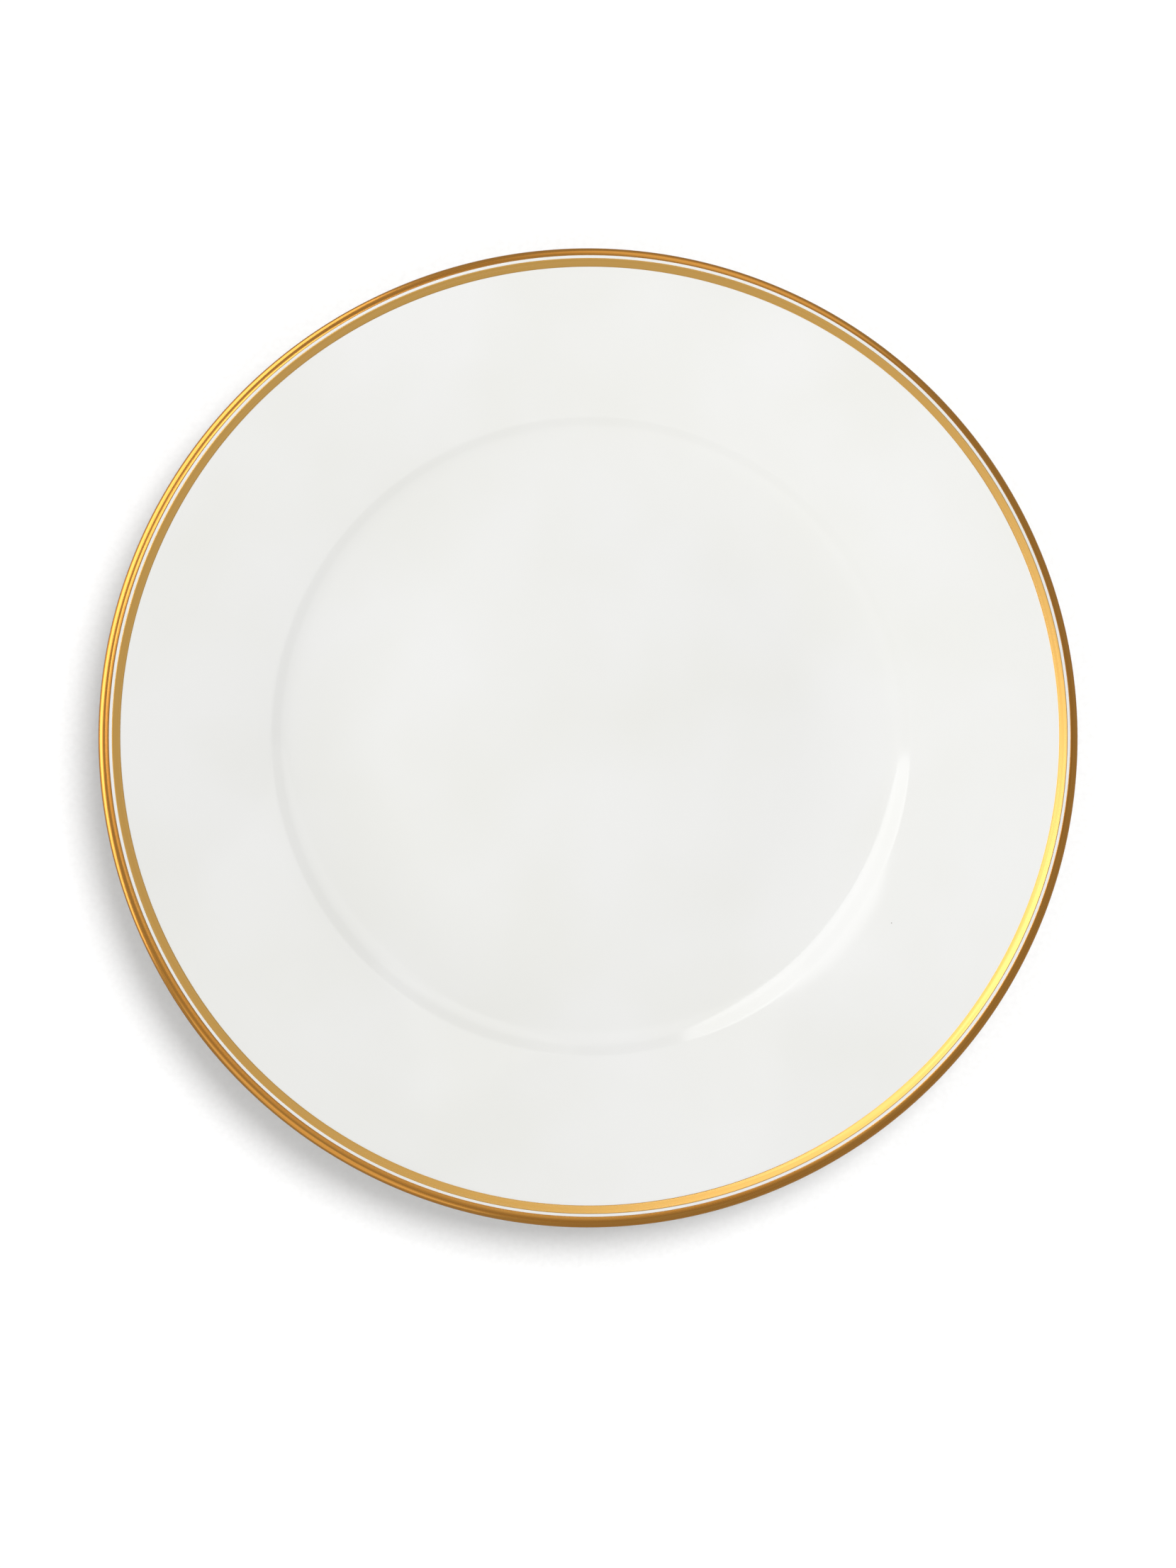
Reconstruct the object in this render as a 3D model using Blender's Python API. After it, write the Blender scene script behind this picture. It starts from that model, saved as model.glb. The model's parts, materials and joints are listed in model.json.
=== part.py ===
"""China dinner plate with a gilded edge: a fired clay body, the glaze fused over it, and two gold bands.

Run it with: blender --background --python part.py
It models in metres, +Z up. The origin is on the surface the plate stands on, under the plate's centre.

Every piece is turned about Z from one outline, the glazed surface of the plate. The outline is drawn as
(radius, height) points: out over the face, round the lip, back under the rim, over the foot ring and in to
the axis. The clay body lies inside that outline by the glaze's thickness, and the gold lies on top of it.
"""

import math

import bmesh
import bpy
import numpy as np

# Driving dimensions, in metres and degrees. Each can be changed by itself.
PLATE_DIAMETER = 0.2700  # over the gold on the lip
PLATE_HEIGHT = 0.0210  # from the table to the top of the gold on the lip
WELL_DIAMETER = 0.1778  # across the shoulder where the rim meets the well
WALL_WIDTH = 0.0042  # the steeper wall just inside the shoulder, measured along the radius
WALL_ANGLE = 19.5
SWEEP_WIDTH = 0.0146  # the gentle rise between the flat floor and the wall
SWEEP_ANGLE = 10.0
FLOOR_THICKNESS = 0.0036
LIP_ROLL_RADIUS = 0.0027  # the wide round by which the rim's crest falls away outwards
LIP_ROLL_ANGLE = 50.0  # how steeply it falls before the tight round takes over
LIP_EDGE_RADIUS = 0.0010  # the tight round that turns it under
RIM_ROOT_THICKNESS = 0.0038  # straight down through the rim, beside the foot ring's blend
FOOT_DIAMETER = 0.1600  # across the middle of the ring's base
FOOT_HEIGHT = 0.0032
FOOT_BASE_WIDTH = 0.0030
FOOT_FLANK_RUN = 0.0018  # how much wider the ring is at its root than at its base, on each side
FOOT_BLEND_RUN = 0.0065  # from the ring's outer root to the rim's straight underside, also outside the well
BARE_FOOT_HEIGHT = 0.0008  # the glaze is wiped off this far up the ring

# Bends, as the radius of each rounding.
FLOOR_BEND = 0.1370
WALL_BEND = 0.0240
SHOULDER_BEND = 0.0087
BLEND_BEND = 0.0200
FOOT_ROOT_BEND = 0.0025

# Coats. The gold is drawn far thicker than it is fired, and each coat keeps off what it is fused to, so
# that each is a solid of its own. All have the same flats, so the gap between them is even and can be thin.
GLAZE_THICKNESS = 0.00025
GOLD_THICKNESS = 0.00010
LAYER_GAP = 0.00010  # between one coat and what it lies on

# Gilding, measured along the radius.
EDGE_BAND_ON_BACK = 0.0004  # from where the lip's rounding ends, inwards under the rim
BAND_SPACING = 0.0010  # from the rim's crest, where the gilding of the lip starts, in to the second band
INNER_BAND_WIDTH = 0.00215

# How finely each shape is divided.
TURN_STEPS = 64  # the same for every piece, so that their flats lie parallel
FLOOR_STEPS = 4
BEND_STEPS = 2
LIP_ROLL_STEPS = 3
LIP_EDGE_STEPS = 2  # above the widest point, and again below it
MERGE_DISTANCE = 0.00001
SHARP_ANGLE = 40.0
EMPTY_SIZE = 0.02

# Worked out from the sizes above.
CLAY_DEPTH = GLAZE_THICKNESS + LAYER_GAP
GOLD_BUILD = LAYER_GAP + GOLD_THICKNESS
ROLL_END = math.radians(90.0 - LIP_ROLL_ANGLE)
ROLL_TO_EDGE = (LIP_ROLL_RADIUS - LIP_EDGE_RADIUS) * np.array([math.cos(ROLL_END), math.sin(ROLL_END)])
CREST_RADIUS = PLATE_DIAMETER / 2 - GOLD_BUILD - LIP_EDGE_RADIUS - ROLL_TO_EDGE[0]
ROLL_CENTRE = np.array([CREST_RADIUS, PLATE_HEIGHT - GOLD_BUILD - LIP_ROLL_RADIUS])
EDGE_CENTRE = ROLL_CENTRE + ROLL_TO_EDGE
WELL_RADIUS = WELL_DIAMETER / 2
FOOT_RADIUS = FOOT_DIAMETER / 2
FLOOR_HEIGHT = FOOT_HEIGHT + FLOOR_THICKNESS


def clear_scene():
    for old in list(bpy.data.objects):
        bpy.data.objects.remove(old, do_unlink=True)


def make_material(name, colour, roughness, metallic):
    material = bpy.data.materials.new(name)
    material.use_nodes = True
    shader = material.node_tree.nodes["Principled BSDF"]
    shader.inputs["Base Color"].default_value = (*colour, 1.0)
    shader.inputs["Roughness"].default_value = roughness
    shader.inputs["Metallic"].default_value = metallic
    material.diffuse_color = (*colour, 1.0)
    return material


def on_circle(centre, radius, angles):
    return centre + radius * np.stack([np.cos(angles), np.sin(angles)], axis=1)


def arc(start, heading, radius, turn, steps):
    """Points along a circle that leaves start in the direction heading. It bends left if turn is positive."""
    side = math.copysign(1.0, turn)
    centre = start + side * radius * np.array([math.sin(-heading), math.cos(heading)])
    first = heading - side * math.pi / 2
    return on_circle(centre, radius, first + np.linspace(0.0, turn, steps + 1))


def rounded(corners, radii, steps):
    """The path through corners, each inner one rounded off. Bends that would overlap share their wall."""
    corners = np.array(corners)
    runs = np.diff(corners, axis=0)
    lengths = np.hypot(runs[:, 0], runs[:, 1])
    headings = np.arctan2(runs[:, 1], runs[:, 0])
    turns = (np.diff(headings) + math.pi) % (2 * math.pi) - math.pi
    reach = np.concatenate([[0.0], radii * np.tan(np.abs(turns) / 2), [0.0]])
    share = np.minimum(1.0, lengths / (reach[:-1] + reach[1:]))
    path = [corners[:1]]
    for i, (turn, count) in enumerate(zip(turns, steps), start=1):
        tangent = reach[i] * min(share[i - 1], share[i])
        start = corners[i] - tangent * runs[i - 1] / lengths[i - 1]
        radius = tangent / math.tan(abs(turn) / 2)
        path.append(arc(start, headings[i - 1], radius, turn, count))
    path.append(corners[-1:])
    return np.concatenate(path)


def inset(path, depths):
    """The path moved towards the clay, each straight run by its own depth, and met again at the corners."""
    runs = np.diff(path, axis=0)
    inward = np.stack([runs[:, 1], -runs[:, 0]], axis=1) / np.hypot(runs[:, 0], runs[:, 1])[:, None]
    depths = np.broadcast_to(depths, len(runs))
    moved = [path[0] + inward[0] * depths[0]]
    for i in range(1, len(runs)):
        walls = inward[i - 1 : i + 1]
        if abs(np.linalg.det(walls)) < 1e-6:
            moved.append(path[i] + inward[i] * depths[i])
            continue
        moved.append(np.linalg.solve(walls, walls @ path[i] + depths[i - 1 : i + 1]))
    moved.append(path[-1] + inward[-1] * depths[-1])
    return np.array(moved)


def height_at(path, radius):
    """The height of a path at a radius, where the path only ever runs one way."""
    order = np.argsort(path[:, 0])
    return float(np.interp(radius, path[order, 0], path[order, 1]))


def point_at_height(lower, upper, height):
    share = (height - lower[1]) / (upper[1] - lower[1])
    return lower + share * (upper - lower)


def heading_past(corner, centre, radius, side):
    """The direction of a line from a corner that just touches a circle, over it (side 1) or under it (-1)."""
    away = centre - corner
    return math.atan2(away[1], away[0]) + side * math.asin(radius / math.hypot(*away))


def face_path():
    """The eating face: flat floor, gentle rise, steep wall, shoulder, and the rim straight to the lip."""
    wall_foot = WELL_RADIUS - WALL_WIDTH
    floor_edge = wall_foot - SWEEP_WIDTH
    wall_foot_height = FLOOR_HEIGHT + SWEEP_WIDTH * math.tan(math.radians(SWEEP_ANGLE))
    shoulder_height = wall_foot_height + WALL_WIDTH * math.tan(math.radians(WALL_ANGLE))
    shoulder = np.array([WELL_RADIUS, shoulder_height])
    heading = heading_past(shoulder, ROLL_CENTRE, LIP_ROLL_RADIUS, 1)
    lip_start = ROLL_CENTRE + LIP_ROLL_RADIUS * np.array([-math.sin(heading), math.cos(heading)])
    corners = [
        (0.0, FLOOR_HEIGHT),
        (floor_edge, FLOOR_HEIGHT),
        (wall_foot, wall_foot_height),
        shoulder,
        lip_start,
    ]
    radii = [FLOOR_BEND, WALL_BEND, SHOULDER_BEND]
    return rounded(corners, radii, [FLOOR_STEPS, BEND_STEPS, BEND_STEPS]), heading


def back_path(face):
    """The underside from the lip to the foot ring's outer bottom edge."""
    base_edge = FOOT_RADIUS + FOOT_BASE_WIDTH / 2
    ring_root = np.array([base_edge + FOOT_FLANK_RUN, FOOT_HEIGHT])
    blend_radius = max(ring_root[0] + FOOT_BLEND_RUN, WELL_RADIUS)
    blend = np.array([blend_radius, height_at(face, blend_radius) - RIM_ROOT_THICKNESS])
    heading = heading_past(blend, EDGE_CENTRE, LIP_EDGE_RADIUS, -1)
    lip_end = EDGE_CENTRE + LIP_EDGE_RADIUS * np.array([math.sin(heading), -math.cos(heading)])
    corners = [lip_end, blend, ring_root, (base_edge, 0.0)]
    return rounded(corners, [BLEND_BEND, FOOT_ROOT_BEND], [BEND_STEPS, BEND_STEPS]), heading


def lip_path(face_heading, back_heading):
    """Over the wide round and under the tight one, with points at the crest and the widest."""
    roll = np.linspace(math.pi / 2, ROLL_END, LIP_ROLL_STEPS + 1)
    over = np.linspace(ROLL_END, 0.0, LIP_EDGE_STEPS + 1)
    under = np.linspace(0.0, back_heading - math.pi / 2, LIP_EDGE_STEPS + 1)
    on_roll = on_circle(ROLL_CENTRE, LIP_ROLL_RADIUS, np.concatenate([[math.pi / 2 + face_heading], roll]))
    on_edge = on_circle(EDGE_CENTRE, LIP_EDGE_RADIUS, np.concatenate([over[1:], under[1:]]))
    return np.concatenate([on_roll, on_edge])


def foot_well_path():
    """The foot ring's inner flank and the flat underside of the floor, in to the axis."""
    base_edge = FOOT_RADIUS - FOOT_BASE_WIDTH / 2
    corners = [(base_edge, 0.0), (base_edge - FOOT_FLANK_RUN, FOOT_HEIGHT), (0.0, FOOT_HEIGHT)]
    return rounded(corners, [FOOT_ROOT_BEND], [BEND_STEPS])


def coat(path, near, far):
    """A closed skin along a path, between two depths under it. Negative depths stand on top of it."""
    return np.concatenate([inset(path, near), inset(path, far)[::-1]])


def turn_piece(name, profile, material):
    """A solid turned from a profile that is a closed loop, or that starts and ends on the axis."""
    mesh = bpy.data.meshes.new(name)
    shape = bmesh.new()
    verts = [shape.verts.new((radius, 0.0, height)) for radius, height in profile]
    ends_on_axis = profile[0][0] < MERGE_DISTANCE
    following = verts[1:] if ends_on_axis else verts[1:] + verts[:1]
    edges = [shape.edges.new(pair) for pair in zip(verts, following)]
    bmesh.ops.spin(
        shape,
        geom=verts + edges,
        cent=(0.0, 0.0, 0.0),
        axis=(0.0, 0.0, 1.0),
        angle=2 * math.pi,
        steps=TURN_STEPS,
        use_merge=True,
    )
    bmesh.ops.remove_doubles(shape, verts=shape.verts, dist=MERGE_DISTANCE)
    bmesh.ops.recalc_face_normals(shape, faces=shape.faces)
    shape.to_mesh(mesh)
    shape.free()
    mesh.shade_smooth()
    mesh.set_sharp_from_angle(angle=math.radians(SHARP_ANGLE))
    mesh.materials.append(material)
    piece = bpy.data.objects.new(name, mesh)
    bpy.context.scene.collection.objects.link(piece)
    return piece


def porcelain_body(face, lip, back, foot_well, material):
    """The clay, one piece with its foot ring. Only the ring's base is bare; the rest is under the glaze."""
    outline = np.concatenate([face, lip[1:-1], back, foot_well])
    depths = np.full(len(outline) - 1, CLAY_DEPTH)
    depths[-len(foot_well)] = 0.0
    return turn_piece("porcelain_body", inset(outline, depths), material)


def glaze_coat(face, lip, back, material):
    """The glaze over the face, round the lip and down the back, to where it is wiped off the foot ring."""
    wiped_edge = point_at_height(back[-1], back[-2], BARE_FOOT_HEIGHT)
    path = np.concatenate([face, lip[1:-1], back[:-1], [wiped_edge]])
    return turn_piece("glaze_coat", coat(path, 0.0, GLAZE_THICKNESS), material)


def foot_well_glaze(foot_well, material):
    """The glaze inside the foot ring, cut off from the rest by the ring's bare base."""
    wiped_edge = point_at_height(foot_well[0], foot_well[1], BARE_FOOT_HEIGHT)
    path = np.concatenate([[wiped_edge], foot_well[1:]])
    profile = coat(path, 0.0, GLAZE_THICKNESS)[::-1]
    return turn_piece("foot_well_glaze", profile, material)


def edge_gold_band(lip, back, material):
    """The gilding that wraps the lip, from the rim's crest outwards."""
    from_crest = lip[1:]
    back_edge = lip[-1][0] - EDGE_BAND_ON_BACK
    last = (back_edge, height_at(back[:2], back_edge))
    path = np.concatenate([from_crest, [last]])
    return turn_piece("edge_gold_band", coat(path, -GOLD_BUILD, -LAYER_GAP), material)


def inner_gold_band(face, material):
    """The gilt line on the rim, just inside the gilded edge."""
    outer = CREST_RADIUS - BAND_SPACING
    inner = outer - INNER_BAND_WIDTH
    path = np.array([(inner, height_at(face, inner)), (outer, height_at(face, outer))])
    return turn_piece("inner_gold_band", coat(path, -GOLD_BUILD, -LAYER_GAP), material)


def main():
    clear_scene()
    biscuit = make_material("biscuit_porcelain", (0.80, 0.78, 0.74), 0.60, 0.0)
    glaze = make_material("clear_glaze", (0.87, 0.87, 0.85), 0.08, 0.0)
    gold = make_material("fired_gold", (0.66, 0.42, 0.15), 0.25, 1.0)

    face, face_heading = face_path()
    back, back_heading = back_path(face)
    lip = lip_path(face_heading, back_heading)
    foot_well = foot_well_path()

    plate = bpy.data.objects.new("dinner_plate", None)
    plate.empty_display_size = EMPTY_SIZE
    bpy.context.scene.collection.objects.link(plate)
    pieces = [
        porcelain_body(face, lip, back, foot_well, biscuit),
        glaze_coat(face, lip, back, glaze),
        foot_well_glaze(foot_well, glaze),
        edge_gold_band(lip, back, gold),
        inner_gold_band(face, gold),
    ]
    for piece in pieces:
        piece.parent = plate


main()
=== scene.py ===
# %% [markdown]
# # A china dinner plate with a gilded edge
#
# The plate is one piece of white clay, fired once, glazed, fired again, and then banded with liquid gold
# on a wheel and fired a third time. These cells build each of those layers as its own surface, give it a
# finish that starts from the real material, and light it from overhead as a tabletop photographer would.

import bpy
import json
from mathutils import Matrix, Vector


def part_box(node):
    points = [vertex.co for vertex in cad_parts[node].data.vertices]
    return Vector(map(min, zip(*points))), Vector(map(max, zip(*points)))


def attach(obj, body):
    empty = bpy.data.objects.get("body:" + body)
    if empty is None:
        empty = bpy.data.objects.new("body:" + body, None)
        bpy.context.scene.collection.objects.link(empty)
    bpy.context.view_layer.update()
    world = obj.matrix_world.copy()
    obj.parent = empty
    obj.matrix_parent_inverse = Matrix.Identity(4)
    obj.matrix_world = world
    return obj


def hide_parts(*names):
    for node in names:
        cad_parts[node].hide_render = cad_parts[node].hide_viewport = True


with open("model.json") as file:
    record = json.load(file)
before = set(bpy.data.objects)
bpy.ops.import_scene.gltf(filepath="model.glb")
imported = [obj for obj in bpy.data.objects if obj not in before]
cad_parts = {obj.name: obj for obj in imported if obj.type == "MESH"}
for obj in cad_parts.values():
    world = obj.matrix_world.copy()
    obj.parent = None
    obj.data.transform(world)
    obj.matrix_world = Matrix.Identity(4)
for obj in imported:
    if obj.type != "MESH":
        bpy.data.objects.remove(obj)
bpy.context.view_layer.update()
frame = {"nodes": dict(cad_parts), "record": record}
print("nodes:", sorted(frame["nodes"]))

# %% [markdown]
# ## The sizes
#
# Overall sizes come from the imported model: how far the gold on the lip reaches, how high the floor of the
# well stands, and where the foot ring is. The bends between them can't be read from a box, so they are
# named here in the plate's own terms. Everything is in metres, with one name for a millimetre to keep the
# numbers readable.

# %% Sizes of the plate
import json
import math

import bpy
import numpy as np
from mathutils import Vector

MM = 0.001
mounts = {mount["name"]: mount["pos_m"] for mount in frame["record"]["mounts"]}
PLATE_RADIUS, _, PLATE_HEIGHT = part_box("edge_gold_band")[1]
FLOOR_HEIGHT = mounts["well_floor"][2]
FOOT_RADIUS = mounts["foot_ring_base"][0]

WELL_RADIUS = 88.9 * MM
WALL_WIDTH, WALL_ANGLE = 4.2 * MM, math.radians(19.5)
SWEEP_WIDTH, SWEEP_ANGLE = 14.6 * MM, math.radians(10)
LIP_ROLL_RADIUS, LIP_ROLL_ANGLE = 2.7 * MM, math.radians(50)
LIP_EDGE_RADIUS = 1.0 * MM
RIM_ROOT_THICKNESS = 3.8 * MM
UNDER_FLOOR_HEIGHT = 3.2 * MM
FOOT_BASE_WIDTH, FOOT_FLANK_RUN, FOOT_BLEND_RUN = 3.0 * MM, 1.8 * MM, 6.5 * MM
FOOT_EDGE_RADIUS = 0.7 * MM
BARE_HEIGHT = 0.8 * MM
GLAZE_THICKNESS = 0.25 * MM
GOLD_RELIEF = 0.08 * MM  # how far the gold stands over the glaze; the real film is thinner and wouldn't show
print(f"plate {PLATE_RADIUS * 2 / MM:.1f} mm across and {PLATE_HEIGHT / MM:.1f} mm high, "
      f"foot ring {FOOT_RADIUS * 2 / MM:.0f} mm across, well floor at {FLOOR_HEIGHT / MM:.1f} mm")

# %% [markdown]
# ## Lines with rounded corners
#
# A plate is jiggered: soft clay turns on a mould while a cut profile presses it to shape. Its form is one
# drawn line turned about an axis. That line could be a spline, but a potter's profile is straight runs
# joined by round bends, so it is drawn that way: corners first, and then a radius at each corner. Each
# bend gets a point for every few degrees, and a tight one gets fewer, because its steps are short anyway.

# %% Draw a line through rounded corners
BEND_STEP = math.radians(2.5)
SHORTEST_STEP = 0.15 * MM
LONGEST_BEND_STEP = 1.0 * MM
LONGEST_RUN = 4.0 * MM


def arc(start, heading, radius, turn):
    """Circle points: the centre is a radius to the side of start, and equal angles lead on from there."""
    side = math.copysign(1.0, turn)
    centre = start + side * radius * np.array([-math.sin(heading), math.cos(heading)])
    step = np.clip(BEND_STEP, SHORTEST_STEP / radius, LONGEST_BEND_STEP / radius)
    count = max(2, math.ceil(abs(turn) / step))
    angles = heading - side * math.pi / 2 + np.linspace(0.0, turn, count + 1)
    return centre + radius * np.stack([np.cos(angles), np.sin(angles)], axis=1)


def rounded(corners, radii):
    """Straight runs between corners, each cut back by radius x tan(turn / 2) and filled with an arc."""
    corners = np.array(corners)
    runs = np.diff(corners, axis=0)
    lengths = np.hypot(*runs.T)
    headings = np.arctan2(runs[:, 1], runs[:, 0])
    turns = (np.diff(headings) + math.pi) % (2 * math.pi) - math.pi
    path = [corners[:1]]
    for i, (radius, turn) in enumerate(zip(radii, turns)):
        start = corners[i + 1] - radius * math.tan(abs(turn) / 2) * runs[i] / lengths[i]
        path.append(arc(start, headings[i], radius, turn))
    path.append(corners[-1:])
    return divided(np.concatenate(path))


def divided(path):
    """The same path, with points added so that no run is longer than LONGEST_RUN."""
    lengths = np.hypot(*np.diff(path, axis=0).T)
    along = np.concatenate([[0.0], np.cumsum(lengths)])
    stations = [
        np.linspace(start, end, math.ceil((end - start) / LONGEST_RUN), endpoint=False)
        for start, end in zip(along[:-1], along[1:])
    ]
    stations = np.concatenate([*stations, along[-1:]])
    return np.stack([np.interp(stations, along, column) for column in path.T], axis=1)


# %% [markdown]
# ## The face, the lip, the back and the foot
#
# The rim climbs to a crest, rolls over outwards in a wide round, and is turned under by a tight one. The
# face has to touch the wide circle and the back the tight one. The direction of a line that just touches
# a circle is the direction of its centre, plus or minus the angle whose sine is the circle's radius over
# the distance, so the slopes of the rim need no numbers of their own.
#
# The line is kept in parts, because the layers stop at different ones: glaze covers all of it except the
# base of the foot ring, and the gold covers the lip.

# %% Draw the plate's line
roll_fall = np.array([math.sin(LIP_ROLL_ANGLE), math.cos(LIP_ROLL_ANGLE)])
roll_to_edge = (LIP_ROLL_RADIUS - LIP_EDGE_RADIUS) * roll_fall
crest_radius = PLATE_RADIUS - GOLD_RELIEF - LIP_EDGE_RADIUS - roll_to_edge[0]
roll_centre = np.array([crest_radius, PLATE_HEIGHT - GOLD_RELIEF - LIP_ROLL_RADIUS])
edge_centre = roll_centre + roll_to_edge


def heading_past(corner, centre, radius, side):
    """A line from corner that touches a circle heads to its centre + side x asin(radius / distance)."""
    away = centre - corner
    return math.atan2(away[1], away[0]) + side * math.asin(radius / math.hypot(*away))


wall_foot = np.array([WELL_RADIUS - WALL_WIDTH, FLOOR_HEIGHT + SWEEP_WIDTH * math.tan(SWEEP_ANGLE)])
shoulder = wall_foot + WALL_WIDTH * np.array([1.0, math.tan(WALL_ANGLE)])
rim_slope = heading_past(shoulder, roll_centre, LIP_ROLL_RADIUS, 1)
lip_start = roll_centre + LIP_ROLL_RADIUS * np.array([-math.sin(rim_slope), math.cos(rim_slope)])
face = rounded(
    [(0.0, FLOOR_HEIGHT), (wall_foot[0] - SWEEP_WIDTH, FLOOR_HEIGHT), wall_foot, shoulder, lip_start],
    [137.0 * MM, 24.0 * MM, 8.7 * MM],
)
roll = arc(lip_start, rim_slope, LIP_ROLL_RADIUS, -(rim_slope + LIP_ROLL_ANGLE))
top = np.concatenate([face, roll[1:]])


def top_height(radius):
    return np.interp(radius, top[:, 0], top[:, 1])


def foot_corners(side):
    """Root, wiped edge and base edge of the foot ring, on its outer flank (side 1) or its inner one (-1)."""
    heights = np.array([UNDER_FLOOR_HEIGHT, BARE_HEIGHT, 0.0])
    spread = FOOT_BASE_WIDTH / 2 + FOOT_FLANK_RUN * heights / UNDER_FLOOR_HEIGHT
    return np.stack([FOOT_RADIUS + side * spread, heights], axis=1)


root, wiped_edge, base_edge = foot_corners(1)
inner_root, inner_wiped_edge, inner_base_edge = foot_corners(-1)
blend_radius = root[0] + FOOT_BLEND_RUN
blend = np.array([blend_radius, top_height(blend_radius) - RIM_ROOT_THICKNESS])
back_slope = heading_past(blend, edge_centre, LIP_EDGE_RADIUS, -1)
edge = arc(roll[-1], -LIP_ROLL_ANGLE, LIP_EDGE_RADIUS, LIP_ROLL_ANGLE + back_slope - math.pi)
back = rounded([edge[-1], blend, root, wiped_edge], [20.0 * MM, 2.5 * MM])
bare_base = rounded([wiped_edge, base_edge, inner_base_edge, inner_wiped_edge], [FOOT_EDGE_RADIUS] * 2)
foot_well = rounded([inner_wiped_edge, inner_root, (0.0, UNDER_FLOOR_HEIGHT)], [2.5 * MM])
glazed = np.concatenate([top, edge[1:-1], back])
outline = np.concatenate([glazed, bare_base[1:-1], foot_well])
print(f"{len(outline)} points, rim slope {math.degrees(rim_slope):.1f} degrees")

# %% [markdown]
# ## Turning a line into a surface
#
# A lathe does in one pass what a grid does here: every row of the grid is one point of the line, and
# every column is one angle. Where the line starts or ends on the axis, its whole row is one point, so the
# pole is closed with a fan of triangles. Blender's Spin tool or Screw modifier would make the same shape,
# but a grid lets each layer be thickened, feathered or set a little off centre as plain array arithmetic.
#
# Nothing on a hand-finished plate is quite concentric. The well of this one sits a millimetre off the
# middle of its rim. That shift fades out across the rim, so the edge stays truly round.

# %% Turn lines into meshes
TURN_COUNT = 360
WELL_RUN_OUT = np.array([0.80, 0.60]) * MM
RUN_OUT_FADE = (90.0 * MM, 125.0 * MM)
turn_angles = np.linspace(0.0, 2 * math.pi, TURN_COUNT, endpoint=False)


def smooth_step(value, low, high):
    """0 below low, 1 above high, and 3t^2 - 2t^3 between them."""
    t = np.clip((value - low) / (high - low), 0.0, 1.0)
    return t * t * (3 - 2 * t)


def repeated(path):
    """One path for every angle of the turn, as a (point, angle, radius or height) array."""
    return np.repeat(path[:, None], TURN_COUNT, axis=1)


def turned(paths):
    """Points (radius cos a, radius sin a, height), moved by the well's run-out where it hasn't faded out."""
    radius, height = paths[..., 0], paths[..., 1]
    shift = 1.0 - smooth_step(radius, *RUN_OUT_FADE)
    x = radius * np.cos(turn_angles) + WELL_RUN_OUT[0] * shift
    y = radius * np.sin(turn_angles) + WELL_RUN_OUT[1] * shift
    return np.stack([x, y, height], axis=2)


def surface(name, points, is_ring):
    """A closed mesh of grid points, whose rows join up as a ring or whose first and last rows are poles.

    Faces join neighbours (row, angle), (row + 1, angle), (row + 1, angle + 1), (row, angle + 1).
    """
    row_count = len(points)
    if is_ring:
        vertices = points.reshape(-1, 3)
        index = np.arange(row_count * TURN_COUNT).reshape(row_count, TURN_COUNT)
        index = np.concatenate([index, index[:1]])
    else:
        vertices = np.concatenate([points[:1, 0], points[1:-1].reshape(-1, 3), points[-1:, 0]])
        between = 1 + np.arange((row_count - 2) * TURN_COUNT).reshape(-1, TURN_COUNT)
        poles = np.repeat([[0], [len(vertices) - 1]], TURN_COUNT, axis=1)
        index = np.concatenate([poles[:1], between, poles[1:]])
    near, far = index[:-1], index[1:]
    quads = np.stack([near, far, np.roll(far, -1, axis=1), np.roll(near, -1, axis=1)], axis=2)
    if is_ring:
        faces = quads.reshape(-1, 4).tolist()
    else:
        fans = np.concatenate([quads[0, :, :3], quads[-1, :, [0, 1, 3]].T])
        faces = quads[1:-1].reshape(-1, 4).tolist() + fans.tolist()
    mesh = bpy.data.meshes.new(name)
    mesh.from_pydata(vertices.tolist(), [], faces)
    mesh.shade_smooth()
    piece = bpy.data.objects.new(name, mesh)
    bpy.context.scene.collection.objects.link(piece)
    print(f"{name}: {len(vertices)} points, {len(faces)} faces")
    return piece


# %% [markdown]
# ## Layers that follow the line
#
# Clay, glaze and gold all run parallel to each other. Solidify could thicken an open surface, but the
# clay comes out from under the glaze in one place and the gold thins at its edges, so each layer is moved
# off the line along its normals instead. At a bend the move grows by one over the cosine of half the
# bend, which keeps the layer's thickness true.

# %% Move a line in, and round off the end of a coat
CAP_POINTS = 9


def moved_in(path, depth):
    """Points moved towards the clay by depth, along (n1 + n2) / (1 + n1 . n2) of the runs on either side."""
    runs = np.diff(path, axis=0)
    inward = np.stack([runs[..., 1], -runs[..., 0]], axis=-1)
    inward /= np.linalg.norm(runs, axis=-1, keepdims=True)
    both = np.concatenate([inward[:1], inward]) + np.concatenate([inward, inward[-1:]])
    scale = 2 * depth / (both**2).sum(axis=-1)
    return path + both * scale[..., None]


def coat(near, far):
    """Out along one line and back along the other, with a half circle from the end of one to the other's."""
    centre = (near[-1] + far[-1]) / 2
    half = near[-1] - centre
    ahead = near[-1] - near[-2]
    ahead *= np.linalg.norm(half) / np.linalg.norm(ahead)
    sweep = np.linspace(0.0, math.pi, CAP_POINTS)[1:-1, None]
    cap = centre + half * np.cos(sweep) + ahead * np.sin(sweep)
    return np.concatenate([near, cap, far[::-1]])


# %% [markdown]
# ## The fired clay
#
# Under the glaze is biscuit porcelain. It shows in one place only: the base of the foot ring, where the
# glaze is wiped off so that the plate doesn't weld itself to the kiln shelf. Everywhere else the clay
# lies a glaze's thickness under the line.

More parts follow.
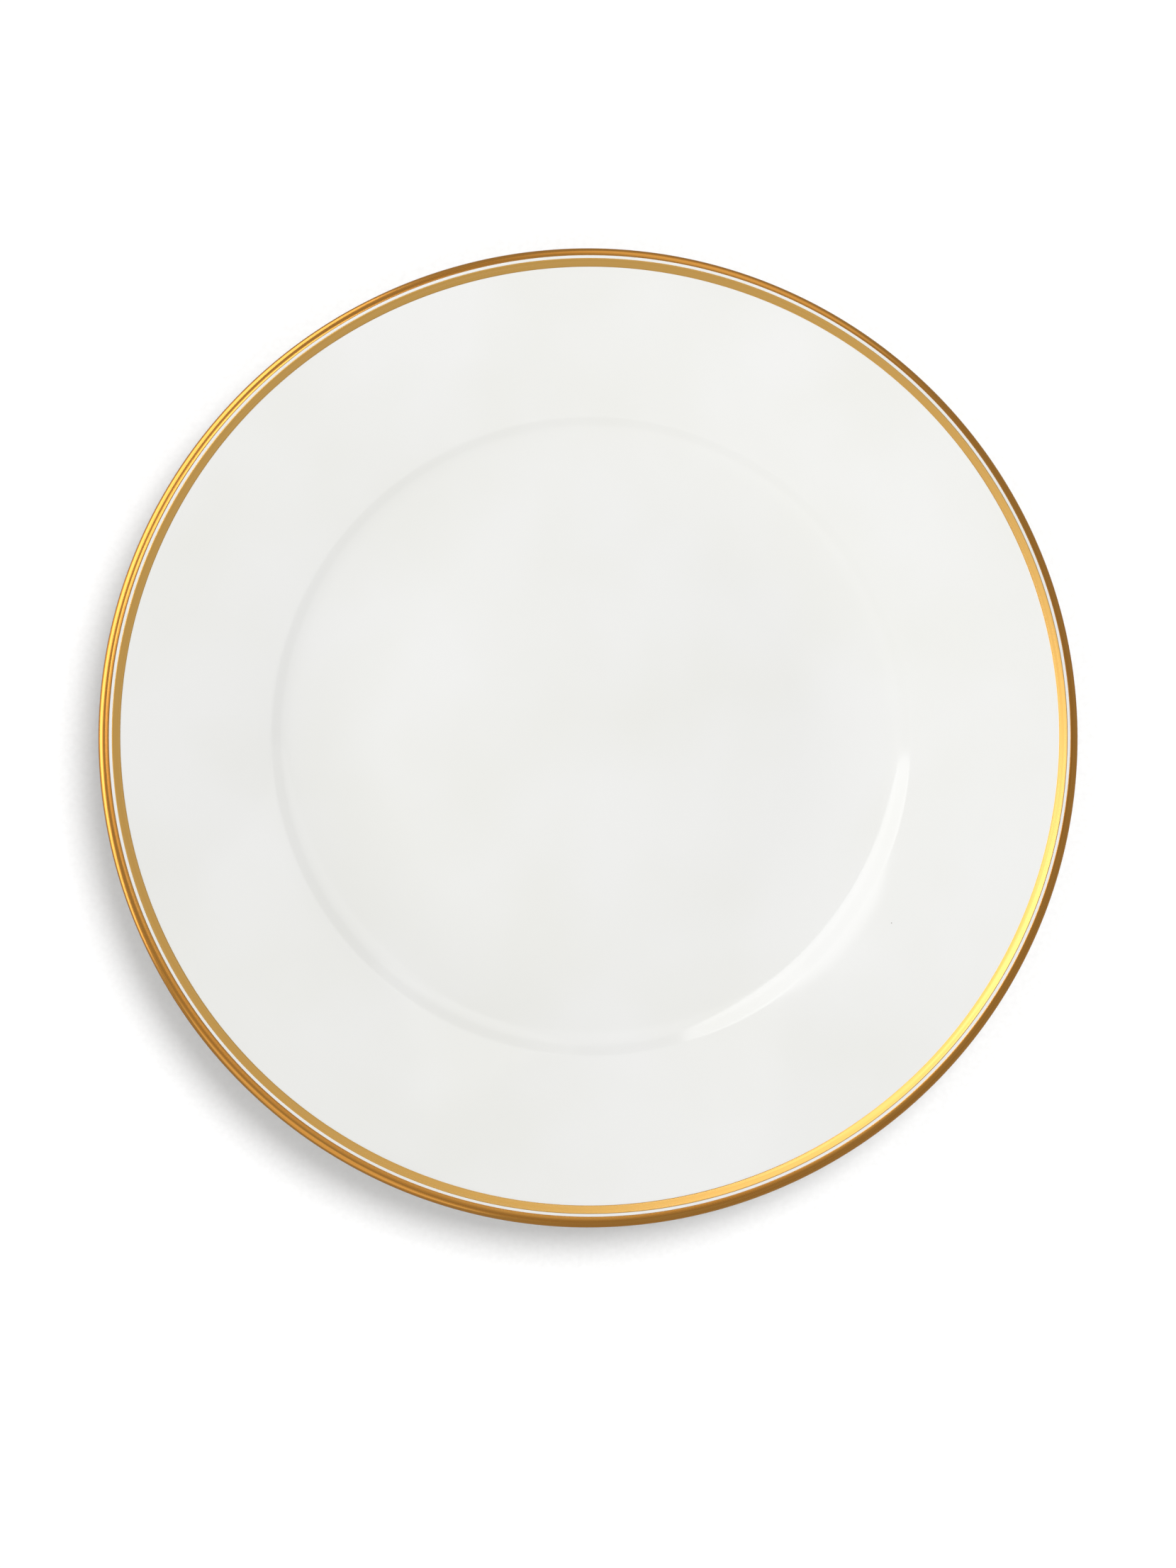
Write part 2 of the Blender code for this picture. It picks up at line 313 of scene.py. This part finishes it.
# %% Make the clay body
CLAY_CLEARANCE = 0.01 * MM
buried = smooth_step(outline[:, 1], 0.0, FOOT_EDGE_RADIUS / 2)
clay_line = moved_in(outline, (GLAZE_THICKNESS + CLAY_CLEARANCE) * buried)
clay_body = surface("fired_clay_body", turned(repeated(clay_line)), is_ring=False)

# %% [markdown]
# ## The glaze
#
# The plate is dipped, so one coat covers the face, the lip and the back, down to the wiped foot. The
# ring's bare base cuts off the glaze inside the foot, so that is a second coat. Melted glaze draws itself
# into a rounded bead where it stops, which is why both coats end in a half circle.

# %% Make the two coats of glaze
main_coat = coat(glazed, moved_in(glazed, np.full(len(glazed), GLAZE_THICKNESS)))
main_glaze = surface("face_and_back_glaze", turned(repeated(main_coat)), is_ring=False)

under_foot_well = moved_in(foot_well, np.full(len(foot_well), GLAZE_THICKNESS))
foot_well_coat = coat(under_foot_well[::-1], foot_well[::-1])
foot_well_glaze = surface("foot_well_glaze_coat", turned(repeated(foot_well_coat)), is_ring=False)

# %% [markdown]
# ## The gilding
#
# A gilder turns the plate on a banding wheel and holds a loaded brush still against it. Both bands come
# off the same wheel, so they share its run-out: they are centred two thirds of a millimetre off the
# plate, which makes the gold on the lip look wider on one side than on the other. The hand also wavers by
# a few hundredths. The film is carried on the rim's own line, so it needs no fitting. It stands slightly
# proud, with tight rounded edges that catch the light on one side of a band and go dark on the other.

# %% Make the gilt bands
LINE_RADII = (129.30 * MM, 131.70 * MM)
LIP_BAND_RADIUS = 132.38 * MM
LIP_BAND_ON_BACK = 0.5 * MM
BAND_RUN_OUT, BAND_BEARING = 0.66 * MM, math.radians(49)
EDGE_ROUNDING, SUNK, UNDERSIDE_DEPTH = 0.10 * MM, 0.02 * MM, 0.03 * MM
ACROSS_COUNT = 16


def wavering(radius, start):
    """radius + run-out x cos(a - bearing) + two small waves, for every angle a of the turn."""
    waver = 0.025 * np.sin(3 * turn_angles + start) + 0.015 * np.sin(8 * turn_angles + 2 * start)
    return radius + BAND_RUN_OUT * np.cos(turn_angles - BAND_BEARING) + waver * MM


def across_rim(first, last):
    """Points on the rim from one radius to another, at (1 - cos t) / 2 of the way: closer at both ends."""
    share = (1 - np.cos(np.linspace(0.0, math.pi, ACROSS_COUNT))) / 2
    radius = first + (last - first) * share[:, None]
    return np.stack([radius, top_height(radius)], axis=2)


def gilded(name, paths):
    """A film on paths: smooth_step lifts it from SUNK below the glaze at its edges to GOLD_RELIEF above."""
    steps = np.linalg.norm(np.diff(paths, axis=0), axis=2)
    along = np.concatenate([np.zeros((1, TURN_COUNT)), np.cumsum(steps, axis=0)])
    from_edge = np.minimum(along, along[-1] - along)
    film = (GOLD_RELIEF + SUNK) * smooth_step(from_edge, 0.0, EDGE_ROUNDING) - SUNK
    over = moved_in(paths, -film)
    under = moved_in(paths, np.full_like(film, UNDERSIDE_DEPTH))
    return surface(name, turned(np.concatenate([over, under[::-1]])), is_ring=True)


rim_line = gilded("gilt_rim_line", across_rim(wavering(LINE_RADII[0], 1.0), wavering(LINE_RADII[1], 2.2)))

along_back = LIP_BAND_ON_BACK * np.linspace(0.25, 1.0, 4)[:, None]
band_on_back = edge[-1] - along_back * np.array([math.cos(back_slope), math.sin(back_slope)])
under_lip = repeated(np.concatenate([edge[1:], band_on_back]))
over_roll = across_rim(wavering(LIP_BAND_RADIUS, 3.1), roll[-1][0])
gilded_lip = gilded("gilded_lip", np.concatenate([over_roll, under_lip]))

# %% [markdown]
# ## Every piece rides on the frame
#
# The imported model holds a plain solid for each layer. Each surface made above stands in for one of them
# and moves with the body it belongs to. A plate has no joints, so there is one body.

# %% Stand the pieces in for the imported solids
for piece, node, slot in [
    (clay_body, "porcelain_body", "biscuit_porcelain"),
    (main_glaze, "glaze_coat", "clear_glaze"),
    (foot_well_glaze, "foot_well_glaze", "clear_glaze"),
    (gilded_lip, "edge_gold_band", "fired_gold"),
    (rim_line, "inner_gold_band", "fired_gold"),
]:
    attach(piece, "root")
    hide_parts(node)

# %% [markdown]
# ## Two helpers for finishes
#
# Colours are easier to pick and compare as the hex values of a paint chart, but light adds up only in
# linear values, so one function turns the one into the other. Another adds a node, sets it and links it
# in one call, so that a finish reads from top to bottom like a recipe.

# %% Colour and node helpers
def linear(chart_colour):
    """sRGB hex to linear: v / 12.92 up to 0.04045, and ((v + 0.055) / 1.055) ^ 2.4 above it."""
    srgb = np.array(list(bytes.fromhex(chart_colour.strip("#")))) / 255
    rgb = np.where(srgb <= 0.04045, srgb / 12.92, ((srgb + 0.055) / 1.055) ** 2.4)
    return (*rgb.tolist(), 1.0)


def add(tree, kind, inputs=(), stops=(), **settings):
    """Add a node: settings are its properties, stops its ramp's colours, inputs values or links."""
    node = tree.nodes.new("ShaderNode" + kind)
    for name, value in settings.items():
        setattr(node, name, value)
    for stop, (place, chart_colour) in enumerate(stops):
        element = node.color_ramp.elements[stop]
        element.position, element.color = place, linear(chart_colour)
    for socket, value in dict(inputs).items():
        if isinstance(value, bpy.types.NodeSocket):
            tree.links.new(value, node.inputs[socket])
        else:
            node.inputs[socket].default_value = value
    return node


def new_finish(name):
    """A material with its node tree and its Principled shader."""
    material = bpy.data.materials.new(name)
    material.use_nodes = True
    return material, material.node_tree, material.node_tree.nodes["Principled BSDF"]


# %% [markdown]
# ## Glazed hard-paste porcelain
#
# Hard-paste porcelain is kaolin, feldspar and quartz fired at 1400 degrees under a clear feldspar glaze.
# It reflects about four fifths of the light, very slightly warm, and the glaze gives it a hard, sharp
# gloss. No glaze is optically flat: it settles into long swells a few thousandths of a millimetre deep,
# with a finer orange peel on top. Here and there a grain of iron in the clay leaves a pinpoint of grey.

# %% Porcelain under its glaze
SPECK_SPACING, SPECK_RADIUS = 17 * MM, 0.2 * MM
SPECK_RARITY = 0.93  # the share of places for a speck that stay clean


def glazed_porcelain():
    material, tree, shader = new_finish("glazed_hard_paste_porcelain")
    place = add(tree, "TexCoord").outputs["Object"]

    clouds = add(tree, "TexNoise", {"Vector": place, "Scale": 1 / (45 * MM), "Detail": 2.0})
    white = add(tree, "ValToRGB", {"Fac": clouds.outputs["Fac"]}, [(0.35, "#E8E8E4"), (0.65, "#EBEBE9")])
    grains = add(tree, "TexVoronoi", {"Vector": place, "Scale": 1 / SPECK_SPACING}, voronoi_dimensions="2D")
    in_grain = add(tree, "MapRange", {
        "Value": grains.outputs["Distance"],
        "From Min": SPECK_RADIUS / SPECK_SPACING,
        "From Max": SPECK_RADIUS / 2 / SPECK_SPACING,
    })
    rare = add(tree, "Math", {0: grains.outputs["Color"], 1: SPECK_RARITY}, operation="GREATER_THAN")
    speck = add(tree, "Math", {
        0: in_grain.outputs["Result"], 1: rare.outputs["Value"],
    }, operation="MULTIPLY")
    colour = add(tree, "MixRGB", {
        "Fac": speck.outputs["Value"], "Color1": white.outputs["Color"], "Color2": linear("#A09C94"),
    })

    gloss = add(tree, "TexNoise", {"Vector": place, "Scale": 1 / (20 * MM), "Detail": 3.0})
    roughness = add(tree, "MapRange", {"Value": gloss.outputs["Fac"], "To Min": 0.05, "To Max": 0.09})

    swells = add(tree, "TexNoise", {"Vector": place, "Scale": 1 / (12 * MM), "Detail": 0.0})
    peel = add(tree, "TexNoise", {"Vector": place, "Scale": 1 / (2.5 * MM), "Detail": 1.0})
    swollen = add(tree, "Bump", {"Height": swells.outputs["Fac"], "Distance": 0.010 * MM})
    peeled = add(tree, "Bump", {
        "Height": peel.outputs["Fac"], "Distance": 0.001 * MM, "Normal": swollen.outputs["Normal"],
    })

    tree.links.new(colour.outputs["Color"], shader.inputs["Base Color"])
    tree.links.new(roughness.outputs["Result"], shader.inputs["Roughness"])
    tree.links.new(peeled.outputs["Normal"], shader.inputs["Normal"])
    shader.inputs["IOR"].default_value = 1.5
    return material


porcelain = glazed_porcelain()
main_glaze.data.materials.append(porcelain)
foot_well_glaze.data.materials.append(porcelain)
print("made", porcelain.name)

# %% [markdown]
# ## Biscuit porcelain
#
# Fired clay without glaze is like very fine, hard chalk: matt, a little warmer than the glazed face, and
# gritty to a fingernail. The foot of a plate in use also picks up grey where it rubs on shelves and other
# plates. The grains are really about 0.05 mm across, and they are drawn at 0.3 mm so that they show.

# %% Bare clay on the foot ring
def biscuit_porcelain():
    material, tree, shader = new_finish("biscuit_porcelain")
    place = add(tree, "TexCoord").outputs["Object"]

    grain = add(tree, "TexNoise", {"Vector": place, "Scale": 1 / (0.3 * MM), "Detail": 2.0})
    clay = add(tree, "ValToRGB", {"Fac": grain.outputs["Fac"]}, [(0.3, "#D2CCBE"), (0.7, "#DDD8CC")])
    rubs = add(tree, "TexNoise", {"Vector": place, "Scale": 1 / (6 * MM), "Detail": 4.0})
    rubbed = add(tree, "MapRange", {
        "Value": rubs.outputs["Fac"], "From Min": 0.52, "From Max": 0.70, "To Max": 0.5,
    })
    colour = add(tree, "MixRGB", {
        "Fac": rubbed.outputs["Result"], "Color1": clay.outputs["Color"], "Color2": linear("#A7A39B"),
    })
    grit = add(tree, "Bump", {"Height": grain.outputs["Fac"], "Distance": 0.02 * MM})

    tree.links.new(colour.outputs["Color"], shader.inputs["Base Color"])
    tree.links.new(grit.outputs["Normal"], shader.inputs["Normal"])
    shader.inputs["Roughness"].default_value = 0.75
    return material


clay_body.data.materials.append(biscuit_porcelain())

# %% [markdown]
# ## Fired bright gold
#
# Liquid gold is painted on over the glaze and fired at 750 degrees, which leaves a mirror of metal
# thinner than a soap film. The brush stays still while the plate turns, so every hair leaves a ring: the
# streaks run round the plate, not across it. They are made by stretching a noise: it takes the direction
# from the wheel's axis, in which it changes slowly, and the distance across the band, in which it changes
# fast. Thick rings are paler and smoother, and thin ones browner and duller. Real hairs are near 0.08 mm;
# the rings are drawn at 0.3 mm on the lip and 0.5 mm on the line, so that they show.

# %% Gold with brush rings
def fired_gold(name, ring_width, ring_length, thin, thick, smooth, dull, relief):
    """Gold in rings: thin and thick are their colours, smooth and dull the roughnesses that go with them."""
    material, tree, shader = new_finish(name)
    place = add(tree, "TexCoord").outputs["Object"]
    wheel_axis = BAND_RUN_OUT * np.array([math.cos(BAND_BEARING), math.sin(BAND_BEARING)])
    centred = add(tree, "Mapping", {"Vector": place, "Location": (-wheel_axis[0], -wheel_axis[1], 0.0)})
    parts = add(tree, "SeparateXYZ", {"Vector": centred.outputs["Vector"]})
    flat = add(tree, "CombineXYZ", {"X": parts.outputs["X"], "Y": parts.outputs["Y"]})
    radius = add(tree, "VectorMath", {0: flat.outputs["Vector"]}, operation="LENGTH")
    across = add(tree, "Math", {0: radius.outputs["Value"], 1: parts.outputs["Z"]}, operation="SUBTRACT")
    rings_across = add(tree, "Math", {0: across.outputs["Value"], 1: 1 / ring_width}, operation="MULTIPLY")
    direction = add(tree, "VectorMath", {0: flat.outputs["Vector"]}, operation="NORMALIZE")
    around = add(tree, "VectorMath", {
        0: direction.outputs["Vector"], "Scale": PLATE_RADIUS / ring_length,
    }, operation="SCALE")
    lift = add(tree, "CombineXYZ", {"Z": rings_across.outputs["Value"]})
    brushed = add(tree, "VectorMath", {
        0: around.outputs["Vector"], 1: lift.outputs["Vector"],
    }, operation="ADD")
    rings = add(tree, "TexNoise", {"Vector": brushed.outputs["Vector"], "Scale": 1.0, "Detail": 2.0})

    colour = add(tree, "ValToRGB", {"Fac": rings.outputs["Fac"]}, [(0.35, thin), (0.65, thick)])
    roughness = add(tree, "MapRange", {
        "Value": rings.outputs["Fac"], "From Min": 0.35, "From Max": 0.65, "To Min": dull, "To Max": smooth,
    })
    relief_bump = add(tree, "Bump", {"Height": rings.outputs["Fac"], "Distance": relief})

    tree.links.new(colour.outputs["Color"], shader.inputs["Base Color"])
    tree.links.new(roughness.outputs["Result"], shader.inputs["Roughness"])
    tree.links.new(relief_bump.outputs["Normal"], shader.inputs["Normal"])
    shader.inputs["Metallic"].default_value = 1.0
    return material


gilded_lip.data.materials.append(
    fired_gold("brushed_bright_gold", 0.3 * MM, 60 * MM, "#D28E3E", "#E4A652", 0.16, 0.32, 0.004 * MM)
)
rim_line.data.materials.append(
    fired_gold("satin_bright_gold", 0.5 * MM, 90 * MM, "#E7B562", "#EDBC6C", 0.26, 0.32, 0.001 * MM)
)

# %% [markdown]
# ## The table
#
# White ware is shot on a white sweep so bright that it disappears, and all that is left of it is the
# shadow. The sweep here is a flat floor wide enough to fill any view, in a matt white card with a barely
# visible tooth. Gilding would mirror so much white and go pale at its edge, so the card has painted shade
# in reflections: where the gilding mirrors it, its colour turns a darker grey, standing in for grey flags
# round the plate outside the picture.

# %% Lay the floor
FLOOR_REACH = 6.0
corners = [(-FLOOR_REACH, -FLOOR_REACH, 0.0), (FLOOR_REACH, -FLOOR_REACH, 0.0)]
corners += [(-x, -y, z) for x, y, z in corners]
floor_mesh = bpy.data.meshes.new("white_card_floor")
floor_mesh.from_pydata(corners, [], [(0, 1, 2, 3)])
floor = bpy.data.objects.new("white_card_floor", floor_mesh)
bpy.context.scene.collection.objects.link(floor)

card, card_tree, card_shader = new_finish("matt_white_card")
card_place = add(card_tree, "TexCoord").outputs["Object"]
tooth = add(card_tree, "TexNoise", {"Vector": card_place, "Scale": 1 / (1.5 * MM), "Detail": 2.0})
card_white = add(card_tree, "ValToRGB", {"Fac": tooth.outputs["Fac"]}, [(0.3, "#F6F6F6"), (0.7, "#FAFAFA")])
# Painted shade in reflections: rays mirrored off the plate see the card as a darker grey, not its own white.
mirrored = add(card_tree, "LightPath").outputs["Is Glossy Ray"]
card_colour_with_painted_reflection_shade = add(card_tree, "MixRGB", {
    "Fac": mirrored, "Color1": card_white.outputs["Color"], "Color2": linear("#A2A2A2"),
})
card_tree.links.new(card_colour_with_painted_reflection_shade.outputs["Color"], card_shader.inputs["Base Color"])
card_shader.inputs["Roughness"].default_value = 0.9
card_shader.inputs["Specular IOR Level"].default_value = 0.0
floor_mesh.materials.append(card)

# %% [markdown]
# ## The light
#
# Shiny white ware shows its lamps as reflections, so they are large and soft, and each is masked from
# what it shouldn't touch. Here each lamp has a list of what it lights. The china gets a softbox that puts
# the highlight in the curve of the well, and panels above and beside it that make the slow fall of light
# across the face. Gold is a mirror, so it shows only its surroundings: a bright bank stands low on one
# side of it and the other side is left dim. The bank reaches down past the edge of a table, so only the
# gilding itself can shade it. On the card, one lamp draws the shadow and one fills it.

# %% Set up the studio
SURROUND = 0.38
scene = bpy.context.scene
world = bpy.data.worlds.new("pale_surround")
world.use_nodes = True
world_tree = world.node_tree
fill = add(world_tree, "Background", {"Color": (1.0, 1.0, 1.0, 1.0), "Strength": SURROUND})
backdrop = add(world_tree, "Background", {"Color": (1.0, 1.0, 1.0, 1.0), "Strength": 1.0})
to_camera = add(world_tree, "LightPath").outputs["Is Camera Ray"]
seen = add(world_tree, "MixShader", {
    0: to_camera, 1: fill.outputs["Background"], 2: backdrop.outputs["Background"],
})
world_tree.links.new(seen.outputs["Shader"], world_tree.nodes["World Output"].inputs["Surface"])
scene.world = world


def lit_group(name, objects):
    """What a lamp lights. Anything left out of the group can still shade it."""
    group = bpy.data.collections.new(name)
    for lit in objects:
        group.objects.link(lit)
    return group


def add_lamp(name, kind, bearing, tilt, distance, lit, **settings):
    """Aimed at the plate from a bearing in degrees, anticlockwise from +X, and a tilt from straight up."""
    light = bpy.data.lights.new(name, kind)
    for setting, value in settings.items():
        setattr(light, setting, value)
    lamp = bpy.data.objects.new(name, light)
    turn, lean = math.radians(bearing), math.radians(tilt)
    away = Vector((math.sin(lean) * math.cos(turn), math.sin(lean) * math.sin(turn), math.cos(lean)))
    lamp.location = away * distance
    lamp.rotation_euler = away.to_track_quat("Z", "Y").to_euler()
    lamp.light_linking.receiver_collection = lit
    scene.collection.objects.link(lamp)
    return lamp


def add_panel(name, bearing, tilt, distance, lit, width, height, radiance):
    """An oval panel. Its watts are pi x area x radiance, and its area is pi / 4 x width x height."""
    power = math.pi * (math.pi / 4 * width * height) * radiance
    return add_lamp(
        name, "AREA", bearing, tilt, distance, lit, shape="ELLIPSE", size=width, size_y=height, energy=power,
    )


china = lit_group("china", [clay_body, main_glaze, foot_well_glaze])
add_panel("well_softbox", 141, 36, 1.0, china, width=0.72, height=0.66, radiance=2.2)
add_panel("china_top", 0, 0, 0.7, china, width=0.7, height=0.7, radiance=0.60)
for bearing in (45, 90):
    add_panel(f"upper_panel_{bearing}", bearing, 38, 1.1, china, width=1.0, height=1.0, radiance=0.56)
for bearing in (180, 225, 270):
    add_panel(f"side_panel_{bearing}", bearing, 70, 1.1, china, width=0.8, height=0.8, radiance=1.70)

gilding = lit_group("gilding", [gilded_lip, rim_line])
gold_bank = add_panel("gold_bank", 160, 82, 1.1, gilding, width=2.2, height=1.15, radiance=2.4)
gold_bank.light_linking.blocker_collection = gilding
for bearing in (75, 235):
    add_panel(f"gold_side_{bearing}", bearing, 62, 1.1, gilding, width=0.8, height=0.8, radiance=0.6)
add_panel("gold_glint", 145, 20, 1.1, gilding, width=0.45, height=0.45, radiance=2.6)
add_panel("gold_top", 0, 0, 0.7, gilding, width=0.7, height=0.7, radiance=0.20)

table = lit_group("table", [floor])
add_lamp("shadow_lamp", "SUN", 45, 29, 2.0, table, angle=math.radians(29), energy=1.65)
add_lamp("shadow_fill", "SUN", 0, 0, 2.0, table, angle=math.radians(120), energy=0.95)

# %% [markdown]
# ## The camera
#
# The camera hangs over the table and looks straight down, as for a catalogue. A long lens well away keeps
# the rim from hiding the well. The plate is a little above the middle of the picture.

# %% Hang the camera
CAMERA_HEIGHT = PLATE_HEIGHT + 1.3
PICTURE_HEIGHT = 431.8 * MM  # what the picture takes in, at the height of the rim
PLATE_ABOVE_MIDDLE = 12.7 * MM
camera_data = bpy.data.cameras.new("overhead_camera")
camera_data.sensor_width = 36.0
camera_data.lens = camera_data.sensor_width * (CAMERA_HEIGHT - PLATE_HEIGHT) / PICTURE_HEIGHT
camera = bpy.data.objects.new("overhead_camera", camera_data)
camera.location = (0.0, -PLATE_ABOVE_MIDDLE, CAMERA_HEIGHT)
scene.collection.objects.link(camera)
scene.camera = camera
scene.view_settings.view_transform = "Standard"
print(f"lens {camera_data.lens:.1f} mm at {CAMERA_HEIGHT:.2f} m")
